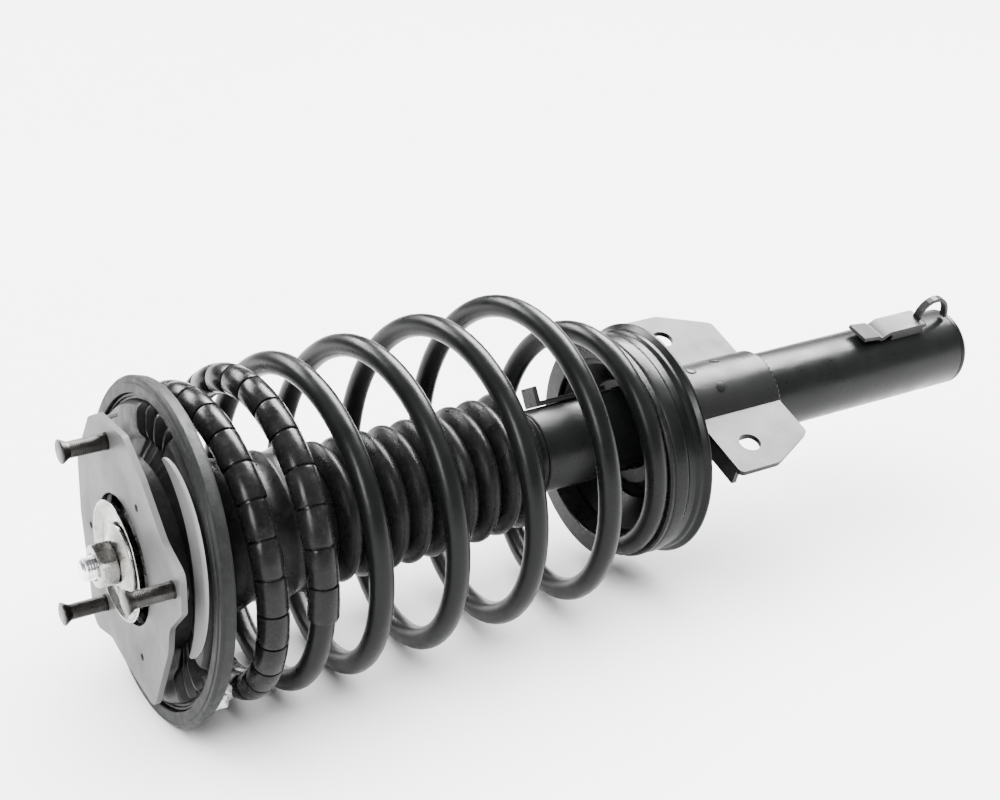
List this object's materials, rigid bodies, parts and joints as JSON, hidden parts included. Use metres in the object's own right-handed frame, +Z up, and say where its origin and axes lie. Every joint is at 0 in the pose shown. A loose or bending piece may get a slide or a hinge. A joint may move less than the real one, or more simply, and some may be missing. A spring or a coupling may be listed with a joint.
{
  "type": "strut assembly",
  "caption": "Ready-mounted front suspension strut: damper, coil spring, swivelling top mount on a ball bearing, spring seats, dust boot and knuckle brackets.",
  "frame": {"origin": "on the surface that the strut lies on, below the middle of its box", "axes": "+X along the strut from the top mount to the closed end of the tube, +Z up as it lies on its spring, +Y to its left seen from the top mount"},
  "size_m": [0.5486, 0.171, 0.1715],
  "materials": {
    "black_paint": "satin black electro-dip paint with soft highlights",
    "spring_paint": "gloss black powder coat",
    "mount_paint": "dark satin paint on pressed steel",
    "dark_zinc": "dark zinc plate",
    "bright_zinc": "bright zinc plate",
    "bare_steel": "ground bearing steel",
    "chrome": "hard chrome, polished",
    "sintered_steel": "matt grey sintered steel",
    "bronze": "plain bronze",
    "black_rubber": "matt black moulded rubber",
    "grey_rubber": "dark grey moulded rubber",
    "seat_plastic": "glass-filled black plastic",
    "black_plastic": "matt black plastic",
    "sleeve_plastic": "gloss black plastic tube",
    "clear_film": "crinkled clear film",
    "bump_foam": "foamed polyurethane"
  },
  "bodies": {
    "strut_body": {"strut_tube": "black_paint", "base_cap": "black_paint", "inner_cylinder": "bare_steel", "base_valve": "sintered_steel", "rod_guide": "sintered_steel", "rod_guide_bush": "bronze", "rod_seal": "black_rubber", "striker_cap": "black_paint", "lower_spring_seat": "black_paint", "lower_isolator": "black_rubber", "seat_gusset": "black_paint", "clamp_bracket": "black_paint", "locating_bracket": "black_paint"},
    "upper_seat": {"upper_spring_seat": "seat_plastic", "upper_isolator": "grey_rubber", "lower_race": "bare_steel", "bump_stop": "bump_foam", "dust_boot": "black_rubber", "coil_spring": "spring_paint", "spring_sleeve": "sleeve_plastic", "spring_end_wrap": "clear_film"},
    "ball_cage": {"bearing_cage": "black_plastic", "bearing_ball_01": "bare_steel", "bearing_ball_02": "bare_steel", "bearing_ball_03": "bare_steel", "bearing_ball_04": "bare_steel", "bearing_ball_05": "bare_steel", "bearing_ball_06": "bare_steel", "bearing_ball_07": "bare_steel", "bearing_ball_08": "bare_steel", "bearing_ball_09": "bare_steel", "bearing_ball_10": "bare_steel", "bearing_ball_11": "bare_steel", "bearing_ball_12": "bare_steel"},
    "mount": {"mount_plate": "mount_paint", "mount_stud_1": "dark_zinc", "mount_stud_2": "dark_zinc", "mount_stud_3": "dark_zinc", "mount_dish": "bright_zinc", "cup_washer": "bright_zinc", "spacer_sleeve": "bare_steel", "rod_nut": "bright_zinc", "mount_rubber": "black_rubber", "rebound_washer": "bare_steel", "upper_race": "bare_steel", "piston_rod": "chrome", "piston": "sintered_steel", "piston_band": "black_plastic", "piston_nut": "bright_zinc", "rebound_stop": "black_plastic"}
  },
  "joints": [
    {"name": "damper_slide", "type": "slide", "parent": "strut_body", "child": "upper_seat", "axis": [1, 0, 0], "range_m": [0, 0.12], "stiffness_N_per_m": 22000, "springref_m": -0.03, "deforming": ["coil_spring", "spring_sleeve", "dust_boot"]},
    {"name": "mount_swivel", "type": "hinge", "parent": "upper_seat", "child": "mount", "pos_m": [-0.25125, 0, 0.0855], "axis": [1, 0, 0], "range_deg": [-40, 40]},
    {"name": "ball_cage_roll", "type": "hinge", "parent": "upper_seat", "child": "ball_cage", "pos_m": [-0.24275, 0, 0.0855], "axis": [1, 0, 0], "range_deg": [-20, 20]}
  ],
  "couplings": [
    {"joint": "ball_cage_roll", "follows": "mount_swivel", "ratio": 0.5}
  ]
}
